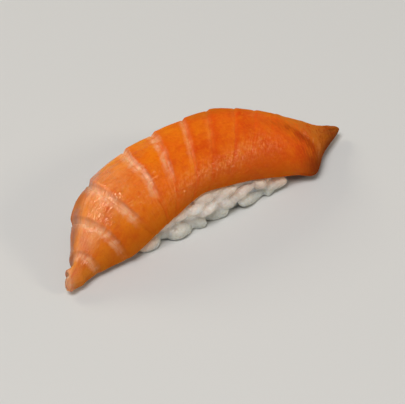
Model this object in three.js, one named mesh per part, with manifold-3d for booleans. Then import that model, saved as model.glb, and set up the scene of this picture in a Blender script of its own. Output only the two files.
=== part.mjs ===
// Salmon nigiri: one long slice of raw salmon draped over a hand-pressed block of rice.
// Millimetres, +Z up. The origin is the middle of the rice's flat underside, and +X runs along the slice.
//
// The slice is lofted along its length between three curves: its front edge, its back edge and its crest.
// Every section is an arch with a rounded rim. The rice is a loaf cut to the underside of the slice, with
// whole grains fused on where it shows.

import * as THREE from "three";
import { mergeVertices } from "three/addons/utils/BufferGeometryUtils.js";
import Module from "manifold-3d";

// ---- driving dimensions -------------------------------------------------------------------------

// Stations along the slice, from the left tip to the right tip: a point on each edge, and the crest height.
const STATIONS = [
  { front: [-54.5, -16.5, 1.5], back: [-52.5, -12, 2], crest: 3.5 },
  { front: [-43, -14, 1], back: [-46, -5, 3], crest: 10.5 },
  { front: [-31, -14.5, 1.5], back: [-37.5, 6.5, 6.5], crest: 19 },
  { front: [-18, -14, 7], back: [-21.5, 13, 9.5], crest: 22 },
  { front: [-4, -13.5, 10], back: [-3, 15.5, 11], crest: 23 },
  { front: [11, -13.5, 7.5], back: [13, 15.5, 11], crest: 22 },
  { front: [25, -14, 3.5], back: [26, 12.5, 8], crest: 17.5 },
  { front: [32, -15.5, 1.5], back: [38, 6.5, 4.5], crest: 12.5 },
  { front: [41, -8.5, 2], back: [45.5, 2, 3], crest: 7.5 },
  { front: [52.5, -2.5, 2.5], back: [52, -0.5, 2.5], crest: 4 },
];
const SLICE_THICKNESS = 5.6; // at the crest
const RIM_THICKNESS = 4.2; // at the two long edges
const RIM_LIFT = 0.8; // the inner corner of the rim sits this much above the outer one
const TIP_CLEARANCE = 0.6; // least height of the underside of a tip
const TIP_LENGTH = 0.045; // rounded part of each tip, as a share of the slice
const ARCH_ANGLE = THREE.MathUtils.degToRad(85); // how far each side of a section turns down
const RIM_ROUNDNESS = 8; // superellipse power that rounds the rim

// Fat lines cross the slice and part its muscle flakes. Each number is a line's place along the slice,
// from 0 at the left tip to 1 at the right tip, where the line passes the crest.
const FAT_LINES = [0.081, 0.152, 0.219, 0.317, 0.381, 0.448, 0.504, 0.568, 0.62, 0.67];
const LAST_FLAKE_END = 0.78;
const LINE_LEAN = { atLeftTip: -0.05, growth: 0.26 }; // how far a line leans to the right as it climbs
const LINE_BOW = { most: 0.08, place: 0.23, spread: 0.1 }; // lines near this place bow round the left tip
const FLAKE_RELIEF = 0.7; // how far a flake stands above the line on its left
const FLAKE_RISE = 0.2; // share of a flake taken by its steep left side
const FLAKE_FALL = 0.65; // share of its height that it loses on the way to the next line
const FLAKE_FADE = { atLeftTip: 1.15, rate: 0.9, least: 0.25 }; // flakes flatten towards the right tip

const SLICE_ROWS = 78;
const SLICE_SIDE_STEPS = 14;

const RICE_LENGTH = 54; // of the bare loaf, without the grains on it
const RICE_WIDTH = 23;
const RICE_TOP = 20;
const RICE_MIDDLE = 7; // height of the widest part
const RICE_SQUARENESS = 4; // superellipse power of its plan and of its sections
const RICE_ROWS = 22;
const RICE_RING = 28;
const OUTLINE_STEPS = 72; // points of the curve that a row of grains follows

const GRAIN_LENGTH = 7.4;
const GRAIN_WIDTH = 3.8;
const GRAIN_PITCH = 6.6; // along a row
const GRAIN_ROW_PITCH = 3.2; // from row to row
const GRAIN_ROW_COUNT = 3;
const GRAIN_FIRST_ROW = 1.6; // height of the lowest row
const GRAIN_SUNK = 0.1; // how deep a grain's axis lies under the loaf's skin
const GRAIN_TILT = THREE.MathUtils.degToRad(28); // most that a grain leans out of its row
const GRAIN_STRAY = { along: 0.18, up: 0.5, out: 0.35, turn: 0.2, size: 0.08 }; // most, either way
const GRAIN_SIDES = 6;
const GRAIN_RINGS = 4;
const CORNER_GRAINS = [[-24.6, -11.2, 1.6], [20, -11.3, 2.4]]; // middles of two grains by the front corners

const CONTACT_GAP = 0.3; // between the slice and the rice
const COVER = { from: 0.14, to: 0.86, rows: 30, steps: 12, sideLean: 7, floor: -3 }; // under the slice
const GROUND_SIZE = 100;
const SEED = 7;
const WELD = 1e-3; // corners closer than this are one corner

// ---- small maths --------------------------------------------------------------------------------

// A power that keeps the sign, for superellipses.
const signedPower = (value, power) => Math.sign(value) * Math.abs(value) ** power;

// The smaller of two positive lengths, with a soft change from one to the other.
const softMin = (a, b) => (a * b) / (a ** 4 + b ** 4) ** 0.25;

// Mulberry32: repeatable random numbers from 0 to 1.
function randomFrom(seed) {
  let state = seed;
  return () => {
    state = (state + 0x6d2b79f5) | 0;
    let mixed = Math.imul(state ^ (state >>> 15), 1 | state);
    mixed = (mixed + Math.imul(mixed ^ (mixed >>> 7), 61 | mixed)) ^ mixed;
    return ((mixed ^ (mixed >>> 14)) >>> 0) / 2 ** 32;
  };
}

// ---- solids -------------------------------------------------------------------------------------

// A closed surface through rings of equal size, closed by a fan to a point at each end.
function loft(rings, startPoint, endPoint) {
  const size = rings[0].length;
  const points = [...rings.flat(), startPoint, endPoint];
  const start = points.length - 2;
  const end = points.length - 1;
  const index = [];
  for (let row = 0; row < rings.length - 1; row += 1) {
    for (let side = 0; side < size; side += 1) {
      const a = row * size + side;
      const b = row * size + ((side + 1) % size);
      index.push(a, a + size, b, b, a + size, b + size);
    }
  }
  const last = (rings.length - 1) * size;
  for (let side = 0; side < size; side += 1) {
    const next = (side + 1) % size;
    index.push(start, side, next);
    index.push(end, last + next, last + side);
  }
  const geometry = new THREE.BufferGeometry().setFromPoints(points);
  geometry.setIndex(index);
  return geometry;
}

// Six times the signed volume; it is negative when the faces point inwards.
function signedVolume(geometry) {
  const position = geometry.getAttribute("position");
  const [a, b, c] = [new THREE.Vector3(), new THREE.Vector3(), new THREE.Vector3()];
  let sum = 0;
  for (let i = 0; i < geometry.index.count; i += 3) {
    a.fromBufferAttribute(position, geometry.index.getX(i));
    b.fromBufferAttribute(position, geometry.index.getX(i + 1));
    c.fromBufferAttribute(position, geometry.index.getX(i + 2));
    sum += a.dot(b.cross(c));
  }
  return sum;
}

// Turns every face round if the surface is inside out.
function facingOut(geometry) {
  if (signedVolume(geometry) < 0) {
    const flipped = Array.from(geometry.index.array);
    flipped.reverse();
    geometry.setIndex(flipped);
  }
  return geometry;
}

const wasm = await Module();
wasm.setup();

function toManifold(source) {
  const geometry = source.clone();
  geometry.deleteAttribute("normal");
  geometry.deleteAttribute("uv");
  const merged = mergeVertices(geometry, WELD);
  const vertProperties = new Float32Array(merged.getAttribute("position").array);
  const triVerts = new Uint32Array(merged.index.array);
  return new wasm.Manifold(new wasm.Mesh({ numProp: 3, vertProperties, triVerts }));
}

function toGeometry(manifold) {
  const mesh = manifold.getMesh();
  const geometry = new THREE.BufferGeometry();
  geometry.setAttribute("position", new THREE.BufferAttribute(new Float32Array(mesh.vertProperties), 3));
  geometry.setIndex(Array.from(mesh.triVerts));
  return geometry;
}

// The largest body of a solid: hollows sealed inside are filled and loose scraps are dropped. Corners
// closer than the weld are merged first, which can seal something again, so it goes on until one is left.
function soundBody(solid) {
  let pieces = [solid, solid];
  while (pieces.length > 1) {
    pieces = toManifold(toGeometry(pieces[0])).decompose();
    pieces.sort((first, second) => second.volume() - first.volume());
  }
  return pieces[0];
}

// ---- salmon slice -------------------------------------------------------------------------------

const curveThrough = (points) => new THREE.CatmullRomCurve3(points, false, "catmullrom", 0.5);
const frontEdge = curveThrough(STATIONS.map(({ front }) => new THREE.Vector3(...front)));
const backEdge = curveThrough(STATIONS.map(({ back }) => new THREE.Vector3(...back)));
const crestLine = curveThrough(
  STATIONS.map(({ front, back, crest }) => {
    return new THREE.Vector3((front[0] + back[0]) / 2, (front[1] + back[1]) / 2, crest);
  }),
);

// Where a fat line runs: lines lean to the right as they climb, and near the left tip they bow round it.
function fatLineAt(place, across) {
  const lean = LINE_LEAN.atLeftTip + LINE_LEAN.growth * place;
  const bow = LINE_BOW.most * Math.exp(-(((place - LINE_BOW.place) / LINE_BOW.spread) ** 2));
  return place + lean * across + bow * across * across;
}

// Height of the muscle flakes over the mean surface. A flake rises steeply at its left fat line and then
// falls gently to the next one; the flakes flatten towards the right end.
function flakeRelief(along, across) {
  const lines = FAT_LINES.map((place) => fatLineAt(place, across));
  const left = Math.max(0, ...lines.filter((line) => line <= along));
  const right = Math.min(LAST_FLAKE_END, ...lines.filter((line) => line > along));
  const share = THREE.MathUtils.clamp((along - left) / (right - left), 0, 1);
  const flake = THREE.MathUtils.smoothstep(share, 0, FLAKE_RISE) * (1 - FLAKE_FALL * share);
  const fade = THREE.MathUtils.clamp(FLAKE_FADE.atLeftTip - FLAKE_FADE.rate * along, FLAKE_FADE.least, 1);
  return FLAKE_RELIEF * fade * (flake - 0.5);
}

// A point of an arch that hangs from its crest to a front and a back edge. Across runs from -1 at the
// front edge through 0 at the crest to 1 at the back edge.
function archPoint({ front, back, crest }, across) {
  const edge = across < 0 ? front : back;
  const turn = Math.abs(across) * ARCH_ANGLE;
  const out = Math.sin(turn) / Math.sin(ARCH_ANGLE);
  const down = (1 - Math.cos(turn)) / (1 - Math.cos(ARCH_ANGLE));
  return new THREE.Vector3(
    THREE.MathUtils.lerp(crest.x, edge.x, out),
    THREE.MathUtils.lerp(crest.y, edge.y, out),
    THREE.MathUtils.lerp(crest.z, edge.z, down),
  );
}

// The outer and the inner arch of the section at one place along the slice, and the section's middle.
function sliceSection(along) {
  const outer = {
    front: frontEdge.getPoint(along),
    back: backEdge.getPoint(along),
    crest: crestLine.getPoint(along),
  };
  const middle = outer.front.clone().add(outer.back).multiplyScalar(0.5);
  const halfWidth = Math.hypot(outer.front.x - middle.x, outer.front.y - middle.y);
  const rim = softMin(RIM_THICKNESS, 0.8 * halfWidth);
  const innerEdge = (edge) => {
    const share = rim / halfWidth;
    return new THREE.Vector3(
      THREE.MathUtils.lerp(edge.x, middle.x, share),
      THREE.MathUtils.lerp(edge.y, middle.y, share),
      edge.z + (RIM_LIFT * rim) / RIM_THICKNESS,
    );
  };
  const innerCrest = outer.crest.clone();
  innerCrest.z -= softMin(SLICE_THICKNESS, 0.85 * (outer.crest.z - TIP_CLEARANCE));
  const inner = { front: innerEdge(outer.front), back: innerEdge(outer.back), crest: innerCrest };
  const centre = new THREE.Vector3(middle.x, middle.y, (outer.crest.z + innerCrest.z) / 2);
  return { outer, inner, centre };
}

// How full the section is, from 0 at a tip's very end to 1, by a quarter circle.
function tipFullness(along) {
  const inward = Math.min(Math.min(along, 1 - along) / TIP_LENGTH, 1);
  return Math.sqrt(1 - (1 - inward) ** 2);
}

// One closed ring: over the outer arch from front to back, then back along the inner arch.
function sliceRing(along) {
  const { outer, inner, centre } = sliceSection(along);
  const fullness = tipFullness(along);
  const ring = [];
  for (let step = 0; step < 2 * SLICE_SIDE_STEPS; step += 1) {
    const onOuter = step < SLICE_SIDE_STEPS;
    const across = -Math.cos((Math.PI * step) / SLICE_SIDE_STEPS);
    const half = Math.sqrt(1 - Math.min(Math.abs(across) ** RIM_ROUNDNESS, 1));
    const depth = onOuter ? half : -half;
    const top = archPoint(outer, across);
    const bottom = archPoint(inner, across);
    const normal = top.clone().sub(bottom).normalize();
    if (onOuter) {
      top.addScaledVector(normal, flakeRelief(along, across) * Math.sqrt(half));
    }
    const point = bottom.lerp(top, (1 + depth) / 2);
    ring.push(point.lerp(centre, 1 - fullness));
  }
  return ring;
}

// Rows lie a little closer together at the two tips.
function rowPlace(row) {
  const even = row / SLICE_ROWS;
  return 0.75 * even + 0.25 * (0.5 - 0.5 * Math.cos(Math.PI * even));
}

function sliceGeometry() {
  const rings = [];
  for (let row = 1; row < SLICE_ROWS; row += 1) {
    rings.push(sliceRing(rowPlace(row)));
  }
  return facingOut(loft(rings, sliceSection(0).centre, sliceSection(1).centre));
}

// The same surface moved outwards along its normals, to cut clearance from the rice.
function swollen(geometry, by) {
  const result = mergeVertices(geometry.clone(), WELD);
  result.computeVertexNormals();
  const position = result.getAttribute("position");
  const normal = result.getAttribute("normal");
  for (let i = 0; i < position.count; i += 1) {
    position.setXYZ(
      i,
      position.getX(i) + by * normal.getX(i),
      position.getY(i) + by * normal.getY(i),
      position.getZ(i) + by * normal.getZ(i),
    );
  }
  return result;
}

// The space that the slice covers, from the middle of its thickness down past the underside of the rice,
// with sides that lean out below the rim.
function coveredSpace() {
  const rings = [];
  for (let row = 0; row <= COVER.rows; row += 1) {
    const along = THREE.MathUtils.lerp(COVER.from, COVER.to, row / COVER.rows);
    const { outer, inner } = sliceSection(along);
    const ring = [];
    for (let step = 0; step <= COVER.steps; step += 1) {
      const across = -1 + (2 * step) / COVER.steps;
      ring.push(archPoint(inner, across).lerp(archPoint(outer, across), 0.5));
    }
    for (const edge of [ring[COVER.steps], ring[0]]) {
      const away = edge.clone().sub(inner.crest).setZ(0).setLength(COVER.sideLean);
      ring.push(edge.clone().add(away).setZ(COVER.floor));
    }
    rings.push(ring);
  }
  const ringCentre = (ring) => {
    return ring.reduce((sum, point) => sum.add(point), new THREE.Vector3()).divideScalar(ring.length);
  };
  return facingOut(loft(rings, ringCentre(rings[0]), ringCentre(rings.at(-1))));
}

// ---- rice ---------------------------------------------------------------------------------------

// Half the loaf's width at one place along it, as a share of its full half width.
function loafFullness(share) {
  return (1 - Math.abs(share) ** RICE_SQUARENESS) ** (1 / RICE_SQUARENESS);
}

function loafGeometry() {
  const rings = [];
  for (let row = 1; row < RICE_ROWS; row += 1) {
    const share = -Math.cos((Math.PI * row) / RICE_ROWS);
    const fullness = loafFullness(share);
    const ring = [];
    for (let side = 0; side < RICE_RING; side += 1) {
      const angle = (2 * Math.PI * side) / RICE_RING;
      const across = signedPower(Math.cos(angle), 2 / RICE_SQUARENESS);
      const up = signedPower(Math.sin(angle), 2 / RICE_SQUARENESS);
      ring.push(new THREE.Vector3(
        (share * RICE_LENGTH) / 2,
        (across * fullness * RICE_WIDTH) / 2,
        RICE_MIDDLE + up * fullness * (RICE_TOP - RICE_MIDDLE),
      ));
    }
    rings.push(ring);
  }
  const start = new THREE.Vector3(-RICE_LENGTH / 2, 0, RICE_MIDDLE);
  const end = new THREE.Vector3(RICE_LENGTH / 2, 0, RICE_MIDDLE);
  return facingOut(loft(rings, start, end));
}

// The loaf's outline at one height, drawn inwards by how deep the grains are sunk.
function loafOutline(height) {
  const share = (height - RICE_MIDDLE) / (RICE_TOP - RICE_MIDDLE);
  const fullness = loafFullness(share);
  const halfLength = (fullness * RICE_LENGTH) / 2 - GRAIN_SUNK;
  const halfWidth = (fullness * RICE_WIDTH) / 2 - GRAIN_SUNK;
  const points = [];
  for (let step = 0; step < OUTLINE_STEPS; step += 1) {
    const angle = (2 * Math.PI * step) / OUTLINE_STEPS;
    points.push(new THREE.Vector3(
      halfLength * signedPower(Math.cos(angle), 2 / RICE_SQUARENESS),
      halfWidth * signedPower(Math.sin(angle), 2 / RICE_SQUARENESS),
      height,
    ));
  }
  return new THREE.CatmullRomCurve3(points, true);
}

// One cooked grain: a plump spindle with few sides, lying along a direction.
function grainGeometry(centre, direction, outward, size) {
  const geometry = new THREE.SphereGeometry(1, GRAIN_SIDES, GRAIN_RINGS);
  const side = new THREE.Vector3().crossVectors(direction, outward).normalize();
  const facing = new THREE.Vector3().crossVectors(direction, side).normalize();
  const frame = new THREE.Matrix4().makeBasis(facing, direction.clone().normalize(), side);
  const scale = new THREE.Matrix4().makeScale(
    (size * GRAIN_WIDTH) / 2,
    (size * GRAIN_LENGTH) / 2,
    (size * GRAIN_WIDTH) / 2,
  );
  geometry.applyMatrix4(frame.multiply(scale));
  geometry.translate(centre.x, centre.y, centre.z);
  return geometry;
}

// Rows of grains round the loaf, each turned a little its own way, and one straight grain near each of
// the two front corners.
function grainGeometries() {
  const random = randomFrom(SEED);
  const spread = (width) => (random() - 0.5) * 2 * width;
  const up = new THREE.Vector3(0, 0, 1);
  const grains = [];
  for (let row = 0; row < GRAIN_ROW_COUNT; row += 1) {
    const height = GRAIN_FIRST_ROW + row * GRAIN_ROW_PITCH;
    const outline = loafOutline(height);
    const count = Math.round(outline.getLength() / GRAIN_PITCH);
    for (let place = 0; place < count; place += 1) {
      const share = (place + (row % 2) / 2 + spread(GRAIN_STRAY.along)) / count;
      const turn = (share + 1) % 1;
      const centre = outline.getPointAt(turn);
      const along = outline.getTangentAt(turn);
      const outward = new THREE.Vector3().crossVectors(along, up).normalize();
      centre.addScaledVector(up, spread(GRAIN_STRAY.up));
      centre.addScaledVector(outward, spread(GRAIN_STRAY.out));
      const direction = along.clone().applyAxisAngle(outward, spread(GRAIN_TILT));
      direction.addScaledVector(outward, spread(GRAIN_STRAY.turn)).normalize();
      grains.push(grainGeometry(centre, direction, outward, 1 + spread(GRAIN_STRAY.size)));
    }
  }
  const lengthways = new THREE.Vector3(1, 0, 0);
  const frontwards = new THREE.Vector3(0, -1, 0);
  for (const middle of CORNER_GRAINS) {
    grains.push(grainGeometry(new THREE.Vector3(...middle), lengthways, frontwards, 1));
  }
  return grains;
}

// A block below the resting plane, which cuts the rice's underside flat.
function groundGeometry() {
  const geometry = new THREE.BoxGeometry(GROUND_SIZE, GROUND_SIZE, GROUND_SIZE);
  geometry.translate(0, 0, -GROUND_SIZE / 2);
  return geometry;
}

function riceGeometry(slice) {
  let rice = toManifold(loafGeometry());
  for (const grain of grainGeometries()) {
    rice = rice.add(toManifold(grain));
  }
  rice = rice.intersect(toManifold(coveredSpace()));
  rice = rice.subtract(toManifold(swollen(slice, CONTACT_GAP)));
  rice = rice.subtract(toManifold(groundGeometry()));
  return toGeometry(soundBody(rice));
}

// ---- the nigiri ---------------------------------------------------------------------------------

const salmonFlesh = new THREE.MeshStandardMaterial({ color: 0xe2661a, roughness: 0.38, metalness: 0 });
const cookedRice = new THREE.MeshStandardMaterial({ color: 0xdedbd0, roughness: 0.5, metalness: 0 });

const sliceSolid = sliceGeometry();

const salmonSlice = new THREE.Mesh(sliceSolid, salmonFlesh);
salmonSlice.name = "salmon_slice";

const rice = new THREE.Mesh(riceGeometry(sliceSolid), cookedRice);
rice.name = "rice";

const nigiri = new THREE.Group();
nigiri.add(rice);
nigiri.add(salmonSlice);

export default nigiri;
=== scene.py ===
# Salmon nigiri: a long slice of raw salmon draped over a hand-pressed block of rice, on a pale surface.
# Shapes are worked out in millimetres, +Z up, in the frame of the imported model, and become metres when
# a mesh is made. +X runs along the slice towards its right tip.

import math

import bpy
import numpy as np
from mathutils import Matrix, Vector


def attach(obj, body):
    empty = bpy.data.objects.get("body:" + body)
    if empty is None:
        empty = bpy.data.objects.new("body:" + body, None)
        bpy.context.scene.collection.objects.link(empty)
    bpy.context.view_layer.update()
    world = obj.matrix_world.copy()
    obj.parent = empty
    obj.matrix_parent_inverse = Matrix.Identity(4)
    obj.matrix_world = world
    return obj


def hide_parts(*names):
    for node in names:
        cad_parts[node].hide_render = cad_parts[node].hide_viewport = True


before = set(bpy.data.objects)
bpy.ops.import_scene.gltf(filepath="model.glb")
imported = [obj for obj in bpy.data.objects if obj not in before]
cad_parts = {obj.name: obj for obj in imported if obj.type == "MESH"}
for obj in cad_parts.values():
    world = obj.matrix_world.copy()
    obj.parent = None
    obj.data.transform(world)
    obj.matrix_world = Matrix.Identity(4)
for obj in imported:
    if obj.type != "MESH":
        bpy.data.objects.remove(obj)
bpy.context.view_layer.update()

# ==== slice of salmon ============================================================================
# One slice of raw salmon, cut on a slant across the fillet, so it tapers to a tip at both ends, and
# bent over the rice. Its muscle flakes stand a little proud of the pale fat lines that part them. It is
# one closed tube of rings: each runs over an outer arch, round the cut rim and back under an inner one.

# Both edges and the crest's height, at ten stations from the left tip to the right tip.
FRONT_EDGE = [
    (-54.5, -16.4, 1.5), (-43, -14, 1), (-31, -14.5, 1.5), (-18, -14, 7), (-4, -13.5, 10),
    (11, -13.5, 7.5), (25, -14, 3.5), (32, -15.5, 1.5), (41, -8.5, 2), (52.5, -2.5, 2.5),
]
BACK_EDGE = [
    (-52.5, -12, 2), (-46, -5, 3), (-37.5, 6.5, 6.5), (-21.5, 13, 9.5), (-3, 15.4, 11),
    (13, 15.4, 11), (26, 12.5, 8), (38, 6.5, 4.5), (45.5, 2, 3), (52, -0.5, 2.5),
]
CREST_HEIGHT = [3.5, 10.5, 19, 22, 22.8, 22, 17.5, 12.5, 7.5, 4]
SLICE_LENGTH = 112  # along the bent slice, from tip to tip
HALF_GIRTH = 21  # over the arch, from the crest to a rim
CREST_THICKNESS = 5.6
CREST_SHARE = 0.85  # of the height above the clearance, the most that the thickness takes at the tips
TIP_CLEARANCE = 0.6
RIM_THICKNESS = 4.2
RIM_SHARE = 0.8  # of half the width, the most that a rim takes
RIM_LIFT = 0.8  # the rim's inner corner sits this much above the outer one
LEFT_TIP_LENGTH = 0.028  # rounded part of each tip, as a share of the slice
RIGHT_TIP_LENGTH = 0.045
ARCH_ANGLE = math.radians(85)
RIM_ROUNDNESS = 8  # superellipse power
SLICE_ROWS = 560
ROW_CROWDING = 0.25  # 0 spaces the rows evenly, 1 by a cosine, which crowds them at the tips
OUTER_STEPS = 130
INNER_STEPS = 44


def spline(points, place):
    """Catmull-Rom curve: it passes through every point, with the slope that joins the point's two
    neighbours. Place runs from 0 at the first point to 1 at the last."""
    knots = np.asarray(points, float)
    spans = len(knots) - 1
    first = np.minimum((place * spans).astype(int), spans - 1)
    t = (place * spans - first)[..., None]
    extended = np.vstack([2 * knots[0] - knots[1], knots, 2 * knots[-1] - knots[-2]])
    a, b, c, d = (extended[first + step] for step in range(4))
    return b + 0.5 * t * (c - a + t * (2 * a - 5 * b + 4 * c - d + t * (3 * (b - c) + d - a)))


def soft_least(a, b):
    """The smaller of two lengths with a soft change: their product over the fourth root of the sum of
    their fourth powers."""
    return a * b / (a**4 + b**4) ** 0.25


def smooth_step(value, low, high):
    """0 below low, 1 above high, and 3 t squared - 2 t cubed in between."""
    t = np.clip((value - low) / (high - low), 0, 1)
    return t * t * (3 - 2 * t)


def bell(value, width):
    """A bump of height 1 at 0: e to the power of minus the square of value over width."""
    return np.exp(-((value / width) ** 2))


LATTICE = 64  # corners each way before the hills repeat


def hills(x, y, seed):
    """Random hills from -1 to 1, about one unit wide: random heights on a square lattice, blended by a
    smooth step from corner to corner."""
    heights = np.random.default_rng(seed).uniform(-1, 1, (LATTICE, LATTICE))
    column, row = np.floor(x).astype(int), np.floor(y).astype(int)
    across, up = smooth_step(x - column, 0, 1), smooth_step(y - row, 0, 1)

    def corner(right, above):
        """Heights of one corner of each point's square."""
        return heights[(column + right) % LATTICE, (row + above) % LATTICE]

    low = corner(0, 0) * (1 - across) + corner(1, 0) * across
    high = corner(0, 1) * (1 - across) + corner(1, 1) * across
    return low * (1 - up) + high * up


# Fat lines: place of each on the crest as a share of the slice, half its width in mm, how pale it is,
# and how far it parts into two stripes towards the back.
FAT_LINES = [
    (0.081, 1.2, 1.0, 0), (0.152, 1.25, 1.0, 0), (0.219, 1.3, 1.0, 0), (0.317, 1.1, 0.88, 0.4),
    (0.381, 1.0, 0.75, 0.3), (0.448, 0.9, 0.62, 0), (0.504, 0.9, 0.36, 0), (0.568, 0.8, 0.2, 0),
    (0.62, 0.8, 0.1, 0), (0.67, 0.8, 0.06, 0),
]
LAST_FLAKE_END = 0.78
LEAN_AT_LEFT_TIP = -0.05  # how far a line leans to the right as it climbs
LEAN_GROWTH = 0.26
BOW = 0.08  # lines near the bow's place curve round the left tip
BOW_PLACE = 0.23
BOW_SPREAD = 0.1
LINE_WANDER = 0.0035
LINE_FADE = 0.95  # share of its paleness that a line loses on its way down the front
LINE_FADE_END = 1.12  # how far down that is, at the left tip
LINE_FADE_LEAN = 1.15  # and how much sooner towards the right tip
LINE_FADE_LENGTH = 0.35
STRIPE_NARROWING = 0.4  # of each stripe, per mm that the line parts
FLAKE_RELIEF = 0.8
RELIEF_AT_LEFT_TIP = 1.35  # as a share, capped at 1
RELIEF_LOSS = 1.6  # over the whole slice
LEAST_RELIEF = 0.15
BACK_RELIEF = 0.6  # how much more the flakes stand out over the crest and the back
FRONT_LOSS = 0.7  # share of the relief that is lost below the front shoulder
FLAKE_RISE = 0.18  # share of a flake taken by its steep left side
FLAKE_FALL = 0.65  # share of its height lost on the way to the next line
CRACK_PLACE = 0.9  # the crack on a line's right, as a share of the line's half width
CRACK_DEPTH = 0.08
CRACK_WIDTH = 0.3


def fat_lines(along, across):
    """For each point, the share of the slice from each fat line to it. A line starts from its place on
    the crest, leans by a factor times across, bows by a bell times across squared, and wanders."""
    gaps = []
    for number, (place, *_) in enumerate(FAT_LINES):
        lean = LEAN_AT_LEFT_TIP + LEAN_GROWTH * place
        bow = BOW * bell(place - BOW_PLACE, BOW_SPREAD)
        wander = LINE_WANDER * hills(3.5 * across + 7.3 * number, 0 * across + 0.5, seed=3)
        gaps.append(along - place - lean * across - bow * across**2 - wander)
    return np.stack(gaps)


def flake_share(gaps, along):
    """Place within a flake, from 0 at the fat line on its left to 1 at the one on its right."""
    since = np.where(gaps >= 0, gaps, np.inf).min(0)
    until = np.where(gaps < 0, -gaps, np.inf).min(0)
    since = np.minimum(since, along)
    until = np.clip(np.minimum(until, LAST_FLAKE_END - along), 0, None)
    return since / np.maximum(since + until, 1e-6)


def cracks(gaps):
    """1 in the thin crack on the right of each fat line, where the next flake begins, by a bell."""
    widths = np.array([line[1] for line in FAT_LINES]).reshape(-1, *[1] * (gaps.ndim - 1))
    return bell(gaps * SLICE_LENGTH - CRACK_PLACE * widths, CRACK_WIDTH).max(0)


def flake_relief(along, across):
    """Height of the flakes: from one line to the next, a steep smooth step up and a straight fall, less
    towards the right tip and below the front shoulder, with the cracks cut in."""
    gaps = fat_lines(along, across)
    share = flake_share(gaps, along)
    flake = smooth_step(share, 0, FLAKE_RISE) * (1 - FLAKE_FALL * share)
    fade = np.clip(RELIEF_AT_LEFT_TIP - RELIEF_LOSS * along, LEAST_RELIEF, 1)
    fade = fade * (1 + BACK_RELIEF * smooth_step(across, -0.2, 0.3))
    fade = fade * (1 - FRONT_LOSS * smooth_step(-across, 0.2, 0.6) * smooth_step(along, 0.3, 0.5))
    return fade * (FLAKE_RELIEF * (flake - 0.5) - CRACK_DEPTH * cracks(gaps))


# The last third is thinner: its top is a slanting facet, beyond a crease that runs down to the front.
CREASE_PLACE = 0.685
CREASE_SHIFT = 0.1  # how much further right the crease lies at the front than on the crest
CREASE_DROP = 0.22
CREASE_WIDTH = 0.04
# Heights of the fine relief.
BROAD_LUMPS = 0.16
SMALL_LUMPS = 0.07
WRINKLES = 0.06
FACET_RIDGES = 0.1


def crease_gap(along, across):
    """Share of the slice from the crease to a point: its place shifts by a smooth step to the front."""
    return along - CREASE_PLACE - CREASE_SHIFT * smooth_step(-across, 0, 0.5)


def crease_strength(across):
    """The crease is plain on the front half and is lost on the crest."""
    return smooth_step(-across, -0.02, 0.25)


def fine_relief(along, across):
    """Lumps and wrinkles, as hills of several sizes, ridges beyond the crease, and the drop at it: a
    smooth step down that fades again to the right."""
    x, y = along * SLICE_LENGTH, across * HALF_GIRTH
    lumps = BROAD_LUMPS * hills(x / 7, y / 6, seed=11) + SMALL_LUMPS * hills(x / 3, y / 3.4, seed=12)
    rough = 0.4 + 0.6 * smooth_step(hills(x / 12, y / 9, seed=15), -0.4, 0.3)
    crossed = hills(x / 1.3 + 0.2 * y, y / 1.5, seed=13) + 0.5 * hills(x, y / 0.9, seed=16)
    wrinkles = WRINKLES * rough * crossed
    gap = crease_gap(along, across)
    drop = CREASE_DROP * smooth_step(gap, -CREASE_WIDTH, CREASE_WIDTH)
    drop = drop * (1 - smooth_step(gap, 0.03, 0.14)) * crease_strength(across)
    ridges = FACET_RIDGES * hills(gap * SLICE_LENGTH / 2.2, y / 9, seed=14) * smooth_step(gap, 0, 0.03)
    return lumps + wrinkles + ridges - drop


def arch(front, back, crest, across):
    """Points of an arch that hangs from its crest to a front and a back edge. Across runs from -1 at
    the front to 1 at the back and turns evenly: out by the sine of the turn, down by 1 - its cosine."""
    turn = np.abs(across) * ARCH_ANGLE
    out = np.sin(turn) / math.sin(ARCH_ANGLE)
    down = (1 - np.cos(turn)) / (1 - math.cos(ARCH_ANGLE))
    edge = np.where(across[..., None] < 0, front, back)
    return crest + (edge - crest) * np.stack([out, out, down], -1)


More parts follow.
